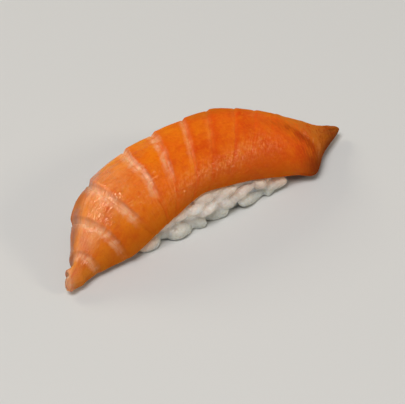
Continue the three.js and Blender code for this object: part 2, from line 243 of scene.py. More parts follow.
def slice_points(along, across, side, relief=True):
    """Points of the slice's skin. Side is 1 on the outer arch and -1 on the inner one: a point lies
    between the two by the superellipse that rounds the rim, the outer one is raised by the relief, and
    both tips are drawn in to a middle line by a quarter circle."""
    front, back = spline(FRONT_EDGE, along), spline(BACK_EDGE, along)
    crest = (front + back) / 2
    crest[..., 2] = spline(np.array(CREST_HEIGHT)[:, None], along)[..., 0]
    middle = (front + back) / 2
    half_width = np.linalg.norm((front - middle)[..., :2], axis=-1, keepdims=True)
    rim = soft_least(RIM_THICKNESS, RIM_SHARE * half_width)
    lift = np.concatenate([0 * rim, 0 * rim, rim * RIM_LIFT / RIM_THICKNESS], -1)
    flat = np.array([1, 1, 0])
    inner_front = front + (middle - front) * flat * rim / half_width + lift
    inner_back = back + (middle - back) * flat * rim / half_width + lift
    inner_crest = crest.copy()
    inner_crest[..., 2] -= soft_least(CREST_THICKNESS, CREST_SHARE * (crest[..., 2] - TIP_CLEARANCE))
    outer = arch(front, back, crest, across)
    inner = arch(inner_front, inner_back, inner_crest, across)
    half = np.sqrt(1 - np.minimum(np.abs(across) ** RIM_ROUNDNESS, 1))
    if relief:
        normal = outer - inner
        normal /= np.linalg.norm(normal, axis=-1, keepdims=True)
        height = flake_relief(along, across) + fine_relief(along, across)
        outer = outer + normal * (height * np.sqrt(half) * (side > 0))[..., None]
    points = inner + (outer - inner) * ((1 + side * half) / 2)[..., None]
    centre = middle.copy()
    centre[..., 2] = (crest[..., 2] + inner_crest[..., 2]) / 2
    inward = np.minimum(np.minimum(along / LEFT_TIP_LENGTH, (1 - along) / RIGHT_TIP_LENGTH), 1)
    fullness = np.sqrt(1 - (1 - inward) ** 2)[..., None]
    return centre + (points - centre) * fullness


TIP_INSET = 0.2
TIP_FRAY = 0.3
FRAY_SLANT = 0.4  # the frayed end is drawn in this much towards the back, as a share
# Lobes and hollows of the two edges: place along, how far out in mm, and half the length.
BACK_LOBES = [
    (0.006, 0.5, 0.01), (0.02, -0.8, 0.007), (0.034, 0.6, 0.01), (0.058, -0.9, 0.018),
    (0.14, 0.6, 0.03), (0.72, 0.3, 0.01), (0.79, 0.35, 0.012), (0.84, 0.3, 0.01), (0.87, -0.3, 0.012),
]
FRONT_LOBES = [(0.03, -0.3, 0.02), (0.056, 0.4, 0.012)]
TIP_OUTWARD = (-0.5, 0.87)  # in plan, square to the tip, towards the back
RIM_WAVES = 0.4
RIM_RISE = 1.4  # the front rim hangs higher over the middle of the rice
RIM_RISE_PLACE = 0.42
RIM_RISE_SPREAD = 0.05


def lobes(along, edge):
    """How far an edge swells out along the slice: the sum of a bell for each lobe."""
    return sum(rise * bell(along - place, length) for place, rise, length in edge)


def ragged(points, along, across):
    """The torn left tip and the wavy rims: the end is drawn in and frayed by random hills, its edges
    swell in lobes, the rims move up and down by random hills, and the front rim rises by a bell."""
    fray = TIP_FRAY * (1 + hills(across * 6, along * 60, seed=21)) * bell(along, 0.03)
    frayed = TIP_INSET * bell(along, 0.02) + fray
    wave = RIM_WAVES * hills(along * 11, np.sign(across) * 3.5, seed=22) * np.abs(across) ** 5
    wave = wave * smooth_step(np.minimum(along, 1 - along), 0.02, 0.1)
    front = smooth_step(-across, 0.3, 1)
    wave = wave + RIM_RISE * bell(along - RIM_RISE_PLACE, RIM_RISE_SPREAD) * front
    swollen = lobes(along, BACK_LOBES) * smooth_step(across, -0.3, 0.7)
    swollen = swollen - lobes(along, FRONT_LOBES) * smooth_step(-across, -0.3, 0.7)
    move_x = frayed + TIP_OUTWARD[0] * swollen
    move_y = FRAY_SLANT * frayed + TIP_OUTWARD[1] * swollen
    return points + np.stack([move_x, move_y, wave], -1)


def tube_faces(rows, size):
    """Faces of a tube through rings of equal size, closed at each end by a fan to a point. The points
    are the rings in order, then the start point, then the end point."""
    here = np.arange(size)
    following = (here + 1) % size
    start = np.arange(rows - 1)[:, None] * size
    onward = start + size
    sides = np.stack([start + here, onward + here, onward + following, start + following], -1)
    last = (rows - 1) * size
    head = np.stack([np.full(size, rows * size), here, following], -1)
    tail = np.stack([np.full(size, rows * size + 1), last + following, last + here], -1)
    return sides.reshape(-1, 4), np.concatenate([head, tail])


# Where the painted sheen, the painted shade on the far side, the wet left and the shoulder's band
# end along the slice.
PAINTED_SHEEN_END = 0.34
SHADE_END = 0.32
WET_END = 0.42
SHOULDER_END = 0.69
SHOULDER_PLACE = -0.64  # across, at the band's left end
SHOULDER_CLIMB = 0.16
SHOULDER_SPREAD = 0.15
SHOULDER_WETNESS = 0.45


def shoulder_share(along, across):
    """The front shoulder, as a band that climbs towards the right and ends before the crease."""
    place = SHOULDER_PLACE + SHOULDER_CLIMB * smooth_step(along, 0.48, 0.6)
    ends = smooth_step(along, 0.24, 0.36) * smooth_step(SHOULDER_END - along, 0, 0.1)
    return bell(across - place, SHOULDER_SPREAD) * ends


def painted_sheen_share(along, across):
    """Painted sheen on top of the left third, and a painted highlight along the back of the left tip."""
    top = smooth_step(across, -0.55, 0) * (1 - 0.6 * smooth_step(across, 0.15, 0.45))
    film = top * smooth_step(PAINTED_SHEEN_END - along, 0, 0.08) * smooth_step(along, 0.07, 0.12)
    tip = 1.5 * smooth_step(0.06 - along, 0, 0.03) * smooth_step(across, -0.4, 0.2)
    return np.maximum(film, tip)


def shade_share(along, across):
    """The far side of the left third, where painted shade makes the flesh browner."""
    return smooth_step(across, 0.2, 0.5) * smooth_step(SHADE_END - along, 0, 0.1)


def wetness(along, across):
    """Where the flesh is wettest: over most of the left third, and on the front shoulder beyond it."""
    left = smooth_step(WET_END - along, 0, 0.12) * smooth_step(across, -0.7, -0.2)
    left = left * (0.4 + 0.6 * smooth_step(along, 0.05, 0.1))
    return np.maximum(left, SHOULDER_WETNESS * shoulder_share(along, across))


MM = 0.001


def set_attribute(mesh, label, values):
    """One number or one vector for each point of a mesh, which a material reads by its label."""
    kind, field = ("FLOAT", "value") if values.ndim == 1 else ("FLOAT_VECTOR", "vector")
    layer = mesh.attributes.new(label, kind, "POINT")
    layer.data.foreach_set(field, values.astype(np.float32).ravel())


def make_piece(name, points, faces, attributes, material, node):
    """A smooth mesh from points in millimetres. It rides with the part and stands for a CAD node, and
    each attribute is one number or one vector a point."""
    quads, triangles = faces
    mesh = bpy.data.meshes.new(name)
    mesh.from_pydata((points * MM).tolist(), [], quads.tolist() + triangles.tolist())
    mesh.shade_smooth()
    for label, values in attributes.items():
        set_attribute(mesh, label, values)
    mesh.materials.append(material)
    piece = bpy.data.objects.new(name, mesh)
    bpy.context.scene.collection.objects.link(piece)
    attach(piece, "root")
    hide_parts(node)
    return piece


def paint(red, green, blue):
    """A screen colour from 0 to 255 as the linear colour that a shader takes."""
    screen = np.array([red, green, blue]) / 255
    linear = np.where(screen <= 0.04045, screen / 12.92, ((screen + 0.055) / 1.055) ** 2.4)
    return (*linear.tolist(), 1.0)


class Value:
    """One value in a material's node tree. Arithmetic on it adds Math nodes to the tree."""

    def __init__(self, tree, socket=None):
        """The tree, and the output that holds the value. Without one it only adds nodes."""
        self.tree = tree
        self.socket = socket

    def node(self, kind, settings, inputs, output=0):
        """Adds a node: first its settings, such as a Math node's operation or a ramp's stops, then the
        numbers or links of its sockets. The result is one of its outputs."""
        made = self.tree.nodes.new(kind)
        for name, setting in settings.items():
            if name == "stops":
                elements = made.color_ramp.elements
                for _ in range(len(setting) - 2):
                    elements.new(0.5)
                for element, (position, colour) in zip(elements, setting):
                    element.position = position
                    element.color = colour
            else:
                setattr(made, name, setting)
        for name, value in inputs.items():
            if isinstance(value, Value):
                self.tree.links.new(value.socket, made.inputs[name])
            else:
                made.inputs[name].default_value = value
        return Value(self.tree, made.outputs[output])

    def math(self, operation, first, second):
        """A Math node on two values or numbers."""
        return self.node("ShaderNodeMath", {"operation": operation}, {0: first, 1: second})

    def __add__(self, other):
        return self.math("ADD", self, other)

    def __sub__(self, other):
        return self.math("SUBTRACT", self, other)

    def __rsub__(self, other):
        return self.math("SUBTRACT", other, self)

    def __mul__(self, other):
        return self.math("MULTIPLY", self, other)

    __radd__ = __add__
    __rmul__ = __mul__

    def step(self, low, high):
        """0 at low and 1 at high, smooth in between; low may be the larger one."""
        inputs = {"Value": self, "From Min": low, "From Max": high}
        return self.node("ShaderNodeMapRange", {"interpolation_type": "SMOOTHSTEP"}, inputs)

    def attribute(self, label, output="Fac"):
        """What the mesh holds under a label: a number, or with the output "Vector" a vector."""
        return self.node("ShaderNodeAttribute", {"attribute_name": label}, {}, output)

    def noise(self, place, scale, detail=2.0, roughness=0.5):
        """Noise from 0 to 1 over a place, with a scale for each axis."""
        stretched = self.node("ShaderNodeVectorMath", {"operation": "MULTIPLY"}, {0: place, 1: scale})
        inputs = {"Vector": stretched, "Scale": 1.0, "Detail": detail, "Roughness": roughness}
        return self.node("ShaderNodeTexNoise", {}, inputs)

    def blend(self, share, colour, other):
        """A colour that goes to another one as share goes from 0 to 1: a Mix node's colour sockets."""
        inputs = {0: share, 6: colour, 7: other}
        return self.node("ShaderNodeMix", {"data_type": "RGBA"}, inputs, output=2)


def new_material(name):
    """An empty material and a Value to add its nodes from."""
    material = bpy.data.materials.new(name)
    material.use_nodes = True
    material.node_tree.nodes.clear()
    return material, Value(material.node_tree)


def finish_material(value, surface):
    """Links a surface to the material's output."""
    output = value.tree.nodes.new("ShaderNodeOutputMaterial")
    value.tree.links.new(surface.socket, output.inputs["Surface"])


# Colour of the flesh from the left tip to the right tip, darker towards the right tip partly as painted
# shade where the end turns from the light, and the colours laid over it.
FLESH_ALONG = [
    (0.0, paint(210, 148, 92)),
    (0.07, paint(221, 133, 43)),
    (0.2, paint(230, 128, 26)),
    (0.34, paint(236, 118, 20)),
    (0.5, paint(223, 91, 20)),
    (0.64, paint(234, 96, 22)),
    (0.76, paint(214, 88, 28)),
    (0.88, paint(158, 74, 18)),
    (1.0, paint(108, 52, 16)),
]
FAT_COLOUR = paint(244, 180, 136)
FAINT_FAT_COLOUR = paint(248, 146, 62)
# Painted sheen over the left third and a painted highlight at the left tip.
PAINTED_SHEEN_COLOUR = paint(246, 176, 120)
# Painted glints on the front shoulder and on the right end's facet, and a painted highlight at the left
# tip.
PAINTED_SHOULDER_GLINTS = paint(254, 166, 90)
PAINTED_FACET_GLINTS = paint(236, 150, 96)
PAINTED_TIP_HIGHLIGHT = paint(206, 176, 154)
DEEP_FLESH = paint(206, 60, 16)
YELLOW_FLESH = paint(238, 134, 18)
# Browner rims: partly the thin edges' own colour, partly painted shade where the flesh turns from the
# light.
RIM_AND_SHADE_FLESH = paint(178, 90, 20)
# Painted shade on the right end's cut edge and on its tip.
PAINTED_CUT_END_SHADE = paint(116, 52, 20)
# Painted shade in the crease and in the cracks.
PAINTED_CREVICE_SHADE = paint(150, 50, 10)
SHADED_FLESH = paint(154, 76, 30)
FACET_FLESH = paint(204, 108, 36)
MOIST_FINISH = (0.35, 0.0, 0.0002)  # roughness, specular level, and depth of the wrinkles in metres
WET_FINISH = (0.13, 1.0, 0.0005)
WARM_SHINE = (1.0, 0.84, 0.6, 1.0)
FLESH_GLOW = (1.0, 0.35, 0.15)  # how far red, green and blue light spread inside, as shares of
FLESH_GLOW_REACH = 0.0015  # this reach in metres


def salmon_material():
    """Moist raw salmon. Colour goes along the slice by a ramp, darker towards the right tip partly as
    painted shade, with redder and yellower patches, a painted sheen and frayed fat lines, painted glints
    on the shoulder and the facet and a painted highlight on the left tip, browner rims that are partly
    thin edges and partly painted shade, painted shade on the far side, at the right end's cut edge, in
    the crease and in the cracks, and a paler facet beyond the crease. It mixes a moist finish with a wet
    one, and wrinkles break up both."""
    material, m = new_material("raw_salmon")
    laid = m.attribute("laid", output="Vector")
    fibre = m.attribute("fibre", output="Vector")
    share = m.attribute("along")
    flake = m.attribute("flake")
    crease = m.attribute("crease")
    creased = m.attribute("creased")

    flesh = m.node("ShaderNodeValToRGB", {"stops": FLESH_ALONG}, {"Fac": share})
    patches = m.noise(laid, (0.13, 0.12, 0.1), detail=2.0)
    flesh = m.blend(patches.step(0.5, 0.7) * 0.4, flesh, DEEP_FLESH)
    golden = patches.step(0.56, 0.3) * flake.step(0.1, 0.45)
    flesh = m.blend(golden * 0.4, flesh, YELLOW_FLESH)
    mottle = m.noise(laid, (0.45, 0.5, 0.5), detail=3.0, roughness=0.6)
    flesh = m.blend(mottle.step(0.5, 0.7) * 0.3, flesh, YELLOW_FLESH)
    flesh = m.blend(mottle.step(0.5, 0.3) * 0.25, flesh, DEEP_FLESH)
    specks = m.noise(laid, (1.5, 1.3, 1.0), detail=2.0)
    flesh = m.blend(specks.step(0.52, 0.68) * 0.3, flesh, YELLOW_FLESH)
    flesh = m.blend(specks.step(0.48, 0.32) * 0.18, flesh, DEEP_FLESH)
    middle = share.step(0.2, 0.35) * (1 - share.step(0.45, 0.6) * 0.7)
    redder = flake.step(0.0, 0.07) * flake.step(0.45, 0.1) * middle
    flesh = m.blend(redder * 0.35, flesh, DEEP_FLESH)

    streaks = m.noise(fibre, (0.75, 0.1, 1.0), detail=2.0)
    threads = m.noise(fibre, (2.4, 0.3, 1.0), detail=2.0)
    glints = m.noise(laid, (1.0, 0.9, 1.0), detail=2.0).step(0.3, 0.7)
    # Painted sheen over the left third and a painted highlight at the left tip, broken up by noise.
    film = m.attribute("film") * (mottle.step(0.3, 0.65) * 0.2 + glints * 0.2 + 0.06)
    flesh = m.blend(film, flesh, PAINTED_SHEEN_COLOUR)
    frayed = m.attribute("line_gap") + (streaks - 0.5) * 0.7 + (glints - 0.5) * 0.5
    line_fat = m.attribute("line_fat")
    band = frayed.step(1.5, 0.2) * line_fat
    fat = band * (streaks.step(0.35, 0.6) * 0.4 + threads.step(0.3, 0.7) * 0.3 + glints * 0.4 + 0.2)
    breaks = m.noise(fibre, (0.3, 0.4, 1.0), detail=2.0)
    fat = fat * (breaks.step(0.35, 0.6) * 0.8 + 0.35)
    fat_colour = m.blend(line_fat.step(0.3, 0.9), FAINT_FAT_COLOUR, FAT_COLOUR)
    flesh = m.blend(fat, flesh, fat_colour)
    # Painted glints in the shoulder's band.
    painted_glints = m.attribute("shoulder") * glints * threads.step(0.35, 0.6)
    flesh = m.blend(painted_glints * 0.5, flesh, PAINTED_SHOULDER_GLINTS)

    # Browner towards both rims, partly thin edges and partly painted shade.
    flesh = m.blend(m.attribute("rim").step(0.45, 1.0) * 0.7, flesh, RIM_AND_SHADE_FLESH)
    # Painted shade on the far side of the left third.
    flesh = m.blend(m.attribute("shaded") * 0.7, flesh, SHADED_FLESH)
    # A painted highlight on the left tip.
    flesh = m.blend(share.step(0.045, 0.01) * (glints * 0.5 + 0.1), flesh, PAINTED_TIP_HIGHLIGHT)
    # Painted shade: the far side darker and redder, darkest near its edge.
    back = m.attribute("back")
    flesh = m.blend(back * 0.25, flesh, DEEP_FLESH)
    flesh = m.blend(back.step(0.45, 1.0) * 0.6, flesh, RIM_AND_SHADE_FLESH)
    grain = m.noise(laid, (0.9, 0.35, 0.5), detail=3.0)
    facet = crease.step(0.0, 0.05)
    flesh = m.blend(facet * grain.step(0.3, 0.6) * 0.8, flesh, FACET_FLESH)
    # Painted glints on the facet just beyond the crease.
    painted_glints = crease.step(0.0, 0.03) * crease.step(0.09, 0.04) * creased
    flesh = m.blend(painted_glints * glints * streaks.step(0.4, 0.7) * 0.5, flesh, PAINTED_FACET_GLINTS)
    # Painted shade in the crease.
    crease_shade = crease.step(-0.12, 0.0) * crease.step(0.05, 0.01) * creased
    flesh = m.blend(crease_shade * (grain.step(0.65, 0.35) * 0.5 + 0.25), flesh, PAINTED_CREVICE_SHADE)
    # Painted shade on the cut edge at the front of the right end, and on the right tip.
    flesh = m.blend(m.attribute("cut") * 0.9, flesh, PAINTED_CUT_END_SHADE)
    flesh = m.blend(share.step(0.84, 0.94) * 0.5, flesh, PAINTED_CUT_END_SHADE)
    # Painted shade in the cracks beside the fat lines.
    flesh = m.blend(m.attribute("crack") * streaks.step(0.25, 0.6) * 0.35, flesh, PAINTED_CREVICE_SHADE)

    wrinkles = m.noise(fibre, (0.45, 1.5, 1.0), detail=1.0)
    folds = m.noise(laid, (1.1, 0.8, 1.0), detail=1.0)
    height = wrinkles * 0.6 + folds * 0.6
    pools = m.noise(laid, (0.12, 0.16, 0.1), detail=2.0)
    wet = m.attribute("wet") * (pools.step(0.36, 0.52) * 0.85 + 0.15)
    wet = wet + pools.step(0.5, 0.7) * crease.step(0.0, -0.05) * 0.1
    finishes = []
    for roughness, shine, depth in (MOIST_FINISH, WET_FINISH):
        bump = m.node("ShaderNodeBump", {}, {"Strength": 1.0, "Distance": depth, "Height": height})
        finishes.append(m.node(
            "ShaderNodeBsdfPrincipled",
            {"subsurface_method": "RANDOM_WALK"},
            {
                "Base Color": flesh,
                "Roughness": roughness,
                "IOR": 1.4,
                "Specular IOR Level": shine,
                "Specular Tint": WARM_SHINE,
                "Subsurface Weight": 1.0,
                "Subsurface Radius": FLESH_GLOW,
                "Subsurface Scale": FLESH_GLOW_REACH,
                "Normal": bump,
            },
        ))
    moist, dripping = finishes
    finish_material(m, m.node("ShaderNodeMixShader", {}, {0: wet, 1: moist, 2: dripping}))
    return material


SIDE_SHIFT = 3.0  # mm, so that the arches and the fat lines don't share one pattern
LINE_SHIFT = 7.0


def salmon_slice():
    """The slice's mesh: rows along it, a little closer at the tips, and rings that run over the outer
    arch from front to back and return along the inner arch. It carries what its material reads."""
    even = np.linspace(0, 1, SLICE_ROWS + 1)[1:-1]
    eased = 0.5 - 0.5 * np.cos(np.pi * even)
    along = ((1 - ROW_CROWDING) * even + ROW_CROWDING * eased)[:, None]
    over, under = np.linspace(0, 1, OUTER_STEPS + 1), np.linspace(1, 0, INNER_STEPS + 1)[1:-1]
    turn = np.concatenate([over, under])
    across = (-0.5 * np.cos(np.pi * turn) - 0.5 * (1 - 2 * turn))[None, :]
    side = np.where(np.arange(turn.size) <= OUTER_STEPS, 1.0, -1.0)[None, :]
    along, across, side = np.broadcast_arrays(along, across, side)
    points = slice_points(along, across, side)
    points = ragged(points, along, across)
    tips = np.array([0.0, 1.0])
    ends = ragged(slice_points(tips, 0 * tips, 0 * tips + 1, relief=False), tips, 0 * tips)

    gaps = fat_lines(along, across)
    nearest = np.abs(gaps).argmin(0)
    gap = np.take_along_axis(gaps, nearest[None], 0)[0] * SLICE_LENGTH
    widths, paleness, parting = (np.array(values)[nearest] for values in list(zip(*FAT_LINES))[1:])
    parting = parting * smooth_step(across, -0.5, 0.1)
    faded = LINE_FADE_END - LINE_FADE_LEAN * along
    lost = smooth_step(-across, faded - LINE_FADE_LENGTH, faded) * smooth_step(along, 0.15, 0.25)
    line_fat = paleness * (1 - LINE_FADE * lost)
    grid = {
        "laid": np.stack([along * SLICE_LENGTH, across * HALF_GIRTH, side * SIDE_SHIFT], -1),
        "along": along,
        "rim": np.abs(across),
        # The far side of the middle and the right, where shade is painted.
        "back": smooth_step(across, -0.35, 0.45) * smooth_step(along, 0.35, 0.55),
        # Where sheen and the tip's highlight are painted.
        "film": painted_sheen_share(along, across),
        "shaded": shade_share(along, across),
        "fibre": np.stack([gap, across * HALF_GIRTH, LINE_SHIFT * nearest], -1),
        "flake": flake_share(gaps, along),
        "line_gap": np.abs(np.abs(gap) - parting) / (widths - STRIPE_NARROWING * parting),
        "line_fat": line_fat,
        "crease": crease_gap(along, across),
        "creased": crease_strength(across),
        # Where shade is painted in the cracks.
        "crack": cracks(gaps) * line_fat,
        # The cut edge at the right end, where shade is painted.
        "cut": smooth_step(along, 0.68, 0.8) * smooth_step(-across, 0.46, 0.82),
        # The shoulder's band, for its wet finish and its painted glints.
        "shoulder": shoulder_share(along, across),
        "wet": wetness(along, across),
    }
    attributes = {}
    for label, values in grid.items():
        flat = values.reshape(along.size, -1)
        capped = np.concatenate([flat, flat[:1], flat[-1:]])
        attributes[label] = capped[:, 0] if capped.shape[1] == 1 else capped
    every_point = np.concatenate([points.reshape(-1, 3), ends])
    faces = tube_faces(*along.shape)
    return make_piece("salmon", every_point, faces, attributes, salmon_material(), "salmon_slice")


salmon_slice()

# ==== core of the rice ===========================================================================
# The inside of a block of cooked short-grain rice, pressed by hand. It is one closed loaf, flat
# below and cut to a small gap under the slice, and all that shows of it is between the grains.

LOAF_LENGTH = 54
LOAF_WIDTH = 23
LOAF_TOP = 20
LOAF_MIDDLE = 7  # height of the widest part
LOAF_SQUARENESS = 4  # superellipse power of the plan and of the sections
CORE_INSET = 0.3
CORE_LUMPS = 0.5
CORE_CLEARANCE = 0.6  # above the surface, where only the grains rest
CORE_ROWS = 90
CORE_RING = 96
CONTACT_GAP = 0.3  # between the rice and the slice
# How far the salmon's painted bounce light reaches into the rice.
BOUNCE_REACH = 4
CELL = 0.6  # of the grid that holds the slice's underside
GRID_REACH = 60
RIM_REACH = 8  # cells
UNDERSIDE_ROWS = 900
UNDERSIDE_STEPS = 261


def signed_power(value, power):
    """The power of a number's size, with the number's own sign."""
    return np.sign(value) * np.abs(value) ** power


def underside_grid():
    """Height of the slice's underside on a square grid: the lowest of its points in each cell. The
    rim's height is carried a few cells outwards, so that no grain stands up in front of it."""
    along = np.linspace(0.02, 0.98, UNDERSIDE_ROWS)[:, None]
    across = np.linspace(-1, 1, UNDERSIDE_STEPS)[None, :]
    along, across = np.broadcast_arrays(along, across)
    points = slice_points(along, across, -np.ones_like(along), relief=False)
    points = ragged(points, along, across).reshape(-1, 3)
    count = int(2 * GRID_REACH / CELL)
    heights = np.full((count, count), np.inf)
    cell = ((points[:, :2] + GRID_REACH) / CELL).astype(int)
    np.minimum.at(heights, (cell[:, 0], cell[:, 1]), points[:, 2])
    for _ in range(RIM_REACH):
        nearby = [np.roll(heights, step, axis) for step in (-1, 1) for axis in (0, 1)]
        heights = np.where(np.isinf(heights), np.minimum.reduce(nearby), heights)
    return heights


UNDERSIDE = underside_grid()


def ceiling(points):
    """How high rice may reach at each point: the lowest underside in the cells round it, less a gap."""
    cell = ((points[..., :2] + GRID_REACH) / CELL - 0.5).astype(int)
    around = [UNDERSIDE[cell[..., 0] + dx, cell[..., 1] + dy] for dx in (0, 1) for dy in (0, 1)]
    return np.minimum.reduce(around) - CONTACT_GAP


def press(points):
    """Points kept above the surface below and under the slice."""
    pressed = points.copy()
    pressed[..., 2] = np.maximum(np.minimum(points[..., 2], ceiling(points)), 0)
    return pressed


def painted_bounce(points):
    """How much warm light bounced from the salmon is painted onto the rice: 1 where they touch, 0 beyond
    the bounce's reach.
    """
    return 1 - smooth_step(ceiling(points) - points[:, 2], 0, BOUNCE_REACH)


def loaf_fullness(share):
    """Half width at one place along the loaf, as a share of the full one, on a superellipse."""
    return (1 - np.abs(share) ** LOAF_SQUARENESS) ** (1 / LOAF_SQUARENESS)


DULL_RICE = paint(235, 213, 202)
BRIGHT_RICE = paint(249, 232, 222)
# Fine specks of painted glints and painted shade from the grains' wet roughness.
PAINTED_GLINT_SPECKS = paint(255, 252, 246)
PAINTED_SHADE_SPECKS = paint(222, 202, 196)
# Painted shade: the rice greyer near the surface below.
PAINTED_BOTTOM_SHADE = paint(176, 188, 180)
# Painted warm light bounced from the salmon.
PAINTED_BOUNCE_RICE = paint(254, 192, 160)
CLOUD_SCALE = (260.0,) * 3  # per metre
SPECK_SCALE = (1300.0,) * 3
DENT_SCALE = (1000.0,) * 3
DENT_DEPTH = 0.0005  # metres
RICE_GLOW = (1.0, 0.85, 0.65)
RICE_GLOW_REACH = 0.005


def rice_material():
    """Cooked rice: milky, translucent and softly glossy, with duller and brighter clouds, specks that are
    painted glints and painted shade, painted shade that greys it towards the bottom, and painted warm
    light that the salmon bounces onto it nearby."""
    material, m = new_material("cooked_rice")
    place = m.node("ShaderNodeTexCoord", {}, {}, output="Object")
    clouds = m.noise(place, CLOUD_SCALE, detail=2.0)
    colour = m.blend(clouds.step(0.3, 0.7), DULL_RICE, BRIGHT_RICE)
    specks = m.noise(place, SPECK_SCALE, detail=2.0)
    # Painted glints and painted shade in fine specks.
    colour = m.blend(specks.step(0.5, 0.7) * 0.5, colour, PAINTED_GLINT_SPECKS)
    colour = m.blend(specks.step(0.5, 0.3) * 0.3, colour, PAINTED_SHADE_SPECKS)
    height = m.node("ShaderNodeSeparateXYZ", {}, {"Vector": place}, output="Z")
    # Painted shade, greyer, over the lowest millimetres of the rice.
    colour = m.blend(height.step(0.008, 0.001) * 0.7, colour, PAINTED_BOTTOM_SHADE)
    # Painted warm bounce light near the salmon.
    colour = m.blend(m.attribute("oily") * 0.5, colour, PAINTED_BOUNCE_RICE)
    dents = m.noise(place, DENT_SCALE, detail=2.0)
    bump = m.node("ShaderNodeBump", {}, {"Strength": 1.0, "Distance": DENT_DEPTH, "Height": dents})
    surface = m.node(
        "ShaderNodeBsdfPrincipled",
        {"subsurface_method": "RANDOM_WALK"},
        {
            "Base Color": colour,
            "Roughness": 0.15 + clouds * 0.15,
            "IOR": 1.4,
            "Specular IOR Level": 0.8,
            "Subsurface Weight": 1.0,
            "Subsurface Radius": RICE_GLOW,
            "Subsurface Scale": RICE_GLOW_REACH,
            "Coat Weight": 0.15,
            "Coat Roughness": 0.25,
            "Normal": bump,
        },
    )
    finish_material(m, surface)
    return material


def rice_core(material):
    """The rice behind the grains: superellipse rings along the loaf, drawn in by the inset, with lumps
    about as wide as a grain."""
    share = -np.cos(np.linspace(0, np.pi, CORE_ROWS + 2))[1:-1, None]
    angle = np.linspace(0, 2 * np.pi, CORE_RING, endpoint=False)[None, :]
    fullness = loaf_fullness(share)
    lumps = CORE_LUMPS * hills(share * LOAF_LENGTH / 5, angle * 5, seed=31)
    x = share * (LOAF_LENGTH / 2 - CORE_INSET) + 0 * angle
    aside = signed_power(np.cos(angle), 2 / LOAF_SQUARENESS) * fullness
    y = aside * (LOAF_WIDTH / 2 - CORE_INSET + lumps)
    up = -signed_power(np.sin(angle), 2 / LOAF_SQUARENESS) * fullness
    z = LOAF_MIDDLE + up * (LOAF_TOP - LOAF_MIDDLE - CORE_INSET + lumps)
    rings = np.stack([x, y, z], -1)
    tip = LOAF_LENGTH / 2 - CORE_INSET
    ends = np.array([[-tip, 0, LOAF_MIDDLE], [tip, 0, LOAF_MIDDLE]])
    points = press(np.concatenate([rings.reshape(-1, 3), ends]))
    points[:, 2] = np.maximum(points[:, 2], CORE_CLEARANCE)
    faces = tube_faces(CORE_ROWS, CORE_RING)
    return make_piece("rice_core", points, faces, {"oily": painted_bounce(points)}, material, "rice")


COOKED_RICE = rice_material()
rice_core(COOKED_RICE)

# ==== grains of rice =============================================================================
# Whole grains of cooked rice, laid on and into the sides and the underside of the core, most of them
# along the block. They are pressed flat where they meet the surface below, lie clear of the slice, and
# their starch glues them to each other.

GRAIN_LENGTH = 7.7
GRAIN_WIDTH = 4
GRAIN_THICKNESS = 3.6
GRAIN_SIZES = (0.9, 1.08)  # smallest and largest, as shares of the usual one
GRAIN_POWER = 2.4
UNEVENNESS = 0.14  # how much blunter one end may be, and how far a grain may bend
BEND_LEVEL = 0.4
GRAIN_ROWS = 12
GRAIN_RING = 14
GRAIN_CANDIDATES = 5000
# Middles of three grains that stand out low on the front.
PLACED_GRAINS = [(-24.6, -11.2, 1.6), (-15.2, -11.9, 1.7), (20, -11.3, 2.4)]
OUTLINE_POINTS = 721
OUTLINE_STEP = 0.003  # share of the outline over which its direction is taken
SIDE_HEIGHTS = (1.4, 17.5)  # of the middles of grains on the sides
FLOOR_HEIGHT = 1.5  # and of those on the underside
FLOOR_SHARE = 0.9  # of the loaf's width, which those on the underside keep to
GRAIN_SUNK = (0.1, 1.0)  # middles of the outer and of the deeper layer, below the loaf's outline
SUNK_SPREAD = 0.35
TURN_SPREAD = math.radians(16)
WILD_SHARE = 0.1  # of the grains, which turn as far as the wild turn
WILD_TURN = 1.3  # radians
TILT = 0.22  # how far an axis may lean out of the loaf's face
MOST_LOWERED = 1.5  # a grain that would cross the slice is moved down by no more than this
LOWEST_MIDDLE = 1.0
CROWDING = (5.6, 2.8)  # two grains come no closer than this, lengthways and sideways
SEED = 5
STICKY_VOXEL = 0.3
STICKY_SMOOTHING = 8


def side_spots(random, count, sunk):
    """Random places on the loaf's side: a height, and a share of the outline at that height, taken
    evenly along its length. Gives each place, the direction of the outline there and the way out."""
    height = random.uniform(*SIDE_HEIGHTS, count)
    fullness = loaf_fullness((height - LOAF_MIDDLE) / (LOAF_TOP - LOAF_MIDDLE))
    angle = np.linspace(0, 2 * np.pi, OUTLINE_POINTS)
    ring = np.stack([
        LOAF_LENGTH / 2 * signed_power(np.cos(angle), 2 / LOAF_SQUARENESS),
        LOAF_WIDTH / 2 * signed_power(np.sin(angle), 2 / LOAF_SQUARENESS),
    ])
    steps = np.hypot(*np.diff(ring))
    length = np.concatenate([[0], np.cumsum(steps)]) / steps.sum()
    share = random.uniform(0, 1, count)
    here = np.array([np.interp(share, length, line) for line in ring])
    ahead = np.array([np.interp((share + OUTLINE_STEP) % 1, length, line) for line in ring])
    tangent = (ahead - here) / np.hypot(*(ahead - here))
    outward = np.stack([tangent[1], -tangent[0], 0 * share], -1)
    centre = np.stack([here[0] * fullness, here[1] * fullness, height], -1) - outward * sunk[:, None]
    return centre, np.stack([*tangent, 0 * share], -1), outward


